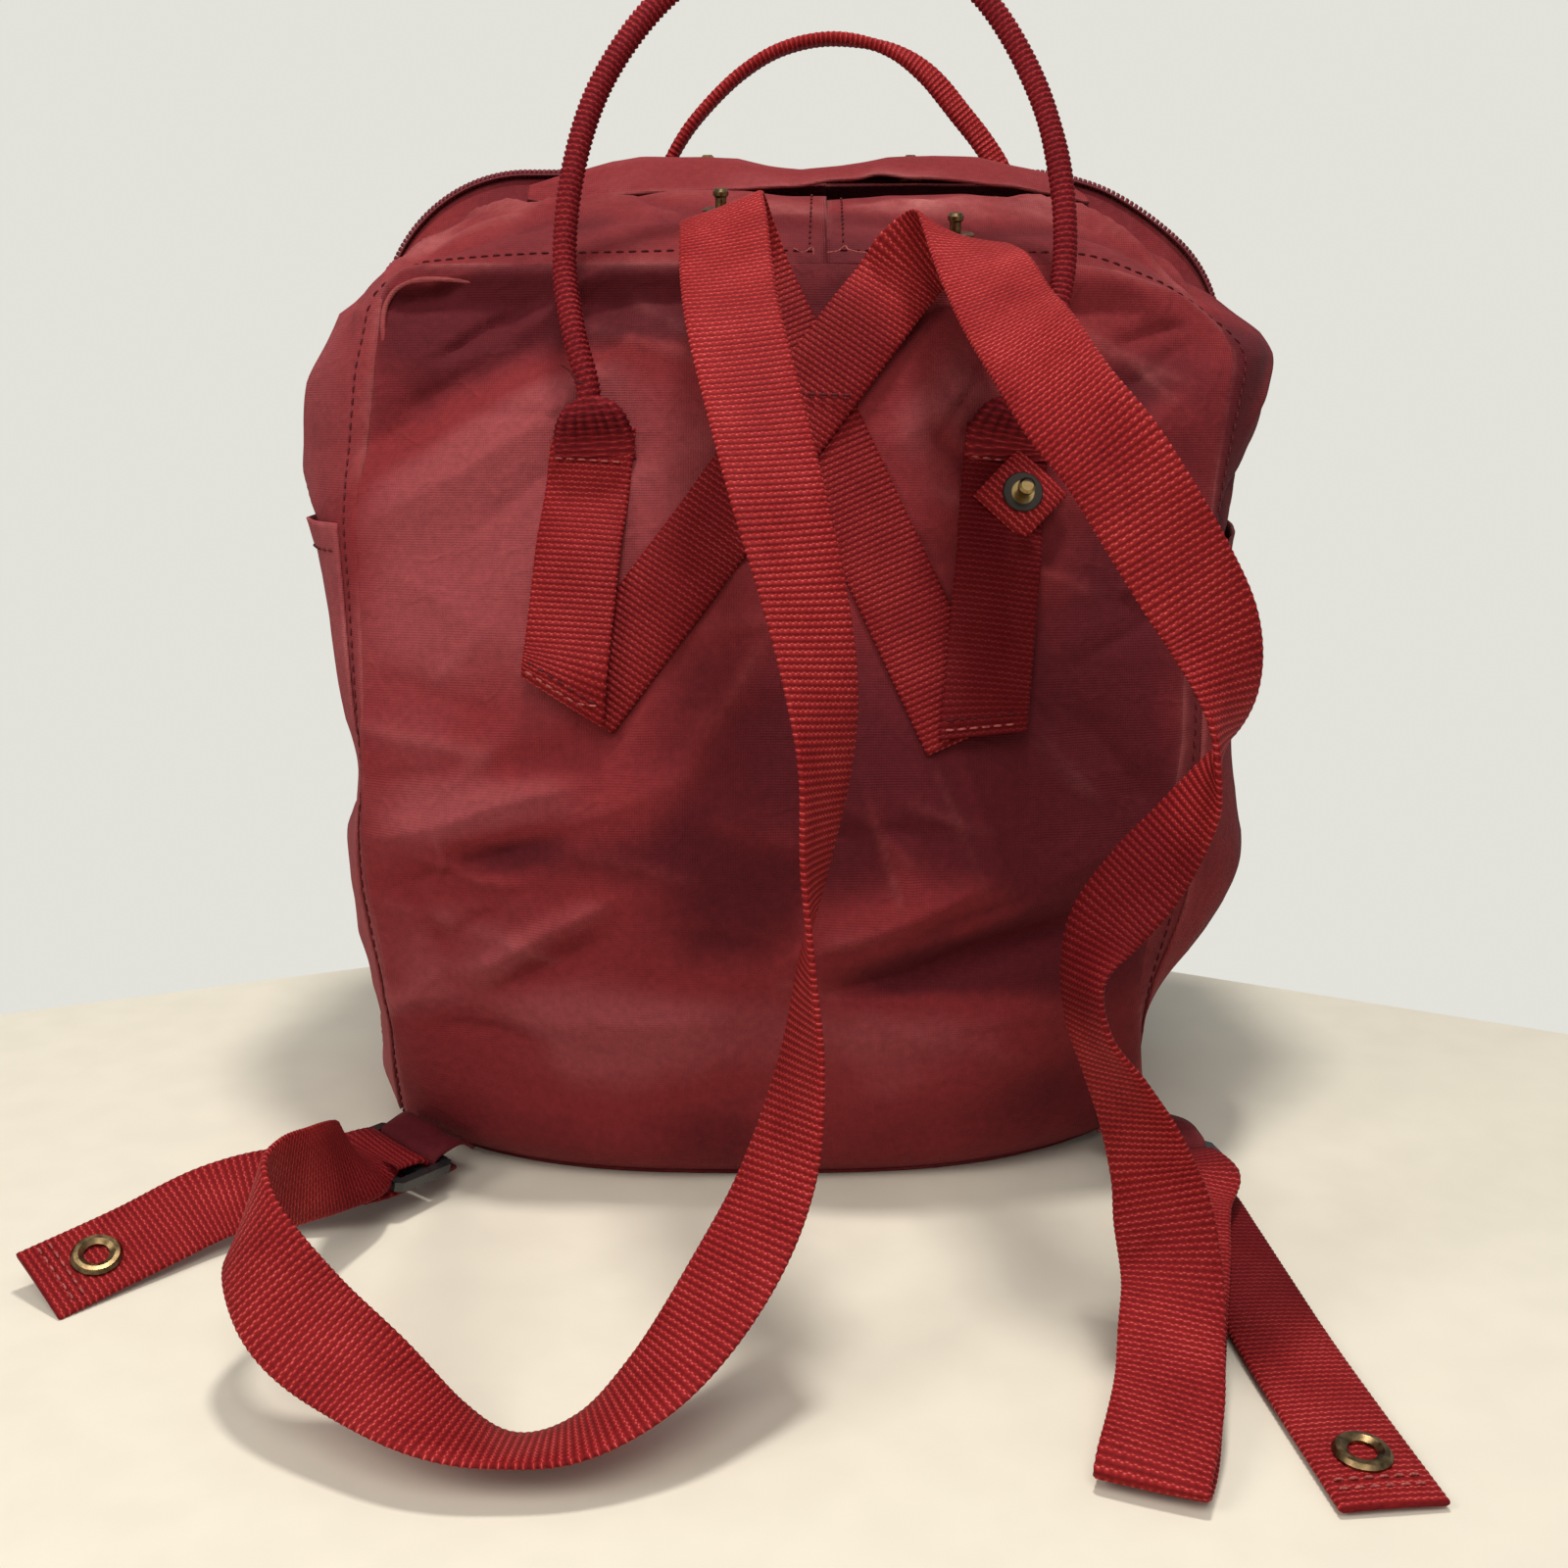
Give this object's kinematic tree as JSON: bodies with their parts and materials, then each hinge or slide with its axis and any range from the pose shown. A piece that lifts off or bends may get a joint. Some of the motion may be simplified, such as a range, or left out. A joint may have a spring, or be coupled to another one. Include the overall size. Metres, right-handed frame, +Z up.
{
  "type": "square day pack",
  "caption": "small boxy day pack with two webbing shoulder straps, a zipped front that hinges open, two carrying handles, side pockets and a front pocket",
  "frame": {"origin": "middle of the flat base, on the floor", "axes": "+Z up, -Y towards the side that lies on the wearer's back, +X to the right in the picture"},
  "size_m": [0.3687, 0.3254, 0.3821],
  "materials": {
    "waxed_canvas": "red waxed cotton canvas, faded and dusty at the seams",
    "webbing": "ribbed red webbing",
    "rolled_webbing": "webbing rolled and sewn into a handle",
    "zip_coil": "dark red zip coil",
    "antique_brass": "dark antique brass",
    "buckle_plastic": "black acetal",
    "foam": "closed-cell foam",
    "lining": "plain lining cloth"
  },
  "bodies": {
    "bag": {"back_panel": "waxed_canvas", "base_panel": "waxed_canvas", "gusset_left": "waxed_canvas", "gusset_right": "waxed_canvas", "side_pocket_left": "waxed_canvas", "side_pocket_right": "waxed_canvas", "foam_back_pad": "foam", "pad_sleeve": "lining", "main_zip_body_half": "zip_coil", "handle_strip_left": "webbing", "handle_strip_right": "webbing", "shoulder_strap_left": "webbing", "shoulder_strap_right": "webbing", "strap_stud_left": "antique_brass", "strap_stud_right": "antique_brass", "stud_tab": "webbing", "handle_stud": "antique_brass", "corner_tab_left": "waxed_canvas", "corner_tab_right": "waxed_canvas", "ladder_buckle_left": "buckle_plastic", "ladder_buckle_right": "buckle_plastic", "tail_socket_left": "antique_brass", "tail_socket_right": "antique_brass"},
    "front": {"front_panel": "waxed_canvas", "flap_band": "waxed_canvas", "main_zip_flap_half": "zip_coil", "front_pocket": "waxed_canvas", "front_handle_strip_left": "webbing", "front_handle_strip_right": "webbing"},
    "rain_lip": {"rain_flap": "waxed_canvas"},
    "carry_handle": {"back_handle": "rolled_webbing"},
    "front_loop": {"front_handle": "rolled_webbing"},
    "slider_left": {"zip_slider_left": "antique_brass"},
    "slider_right": {"zip_slider_right": "antique_brass"},
    "pull_left": {"zip_pull_left": "antique_brass"},
    "pull_right": {"zip_pull_right": "antique_brass"}
  },
  "joints": [
    {"name": "front_open", "type": "hinge", "parent": "bag", "child": "front", "pos_m": [0, 0.064, 0.0039], "axis": [-1, 0, 0], "range_deg": [0, 60]},
    {"name": "rain_flap_lift", "type": "hinge", "parent": "bag", "child": "rain_lip", "pos_m": [0.009, 0.0747, 0.3179], "axis": [-1, 0, 0], "range_deg": [0, 110]},
    {"name": "carry_handle_swing", "type": "hinge", "parent": "bag", "child": "carry_handle", "pos_m": [0.005, -0.0328, 0.23], "axis": [1, 0, 0], "range_deg": [0, 60]},
    {"name": "front_handle_swing", "type": "hinge", "parent": "front", "child": "front_loop", "pos_m": [0.015, 0.1033, 0.294], "axis": [-1, 0, 0], "range_deg": [0, 90]},
    {"name": "slider_left_run", "type": "slide", "parent": "bag", "child": "slider_left", "axis": [-1, 0, 0], "range_m": [0, 0.045]},
    {"name": "slider_right_run", "type": "slide", "parent": "bag", "child": "slider_right", "axis": [1, 0, 0], "range_m": [0, 0.045]},
    {"name": "pull_left_flip", "type": "hinge", "parent": "slider_left", "child": "pull_left", "pos_m": [-0.0271, 0.083, 0.322], "axis": [0, 1, 0], "range_deg": [0, 180]},
    {"name": "pull_right_flip", "type": "hinge", "parent": "slider_right", "child": "pull_right", "pos_m": [0.0449, 0.083, 0.322], "axis": [0, -1, 0], "range_deg": [0, 180]}
  ]
}
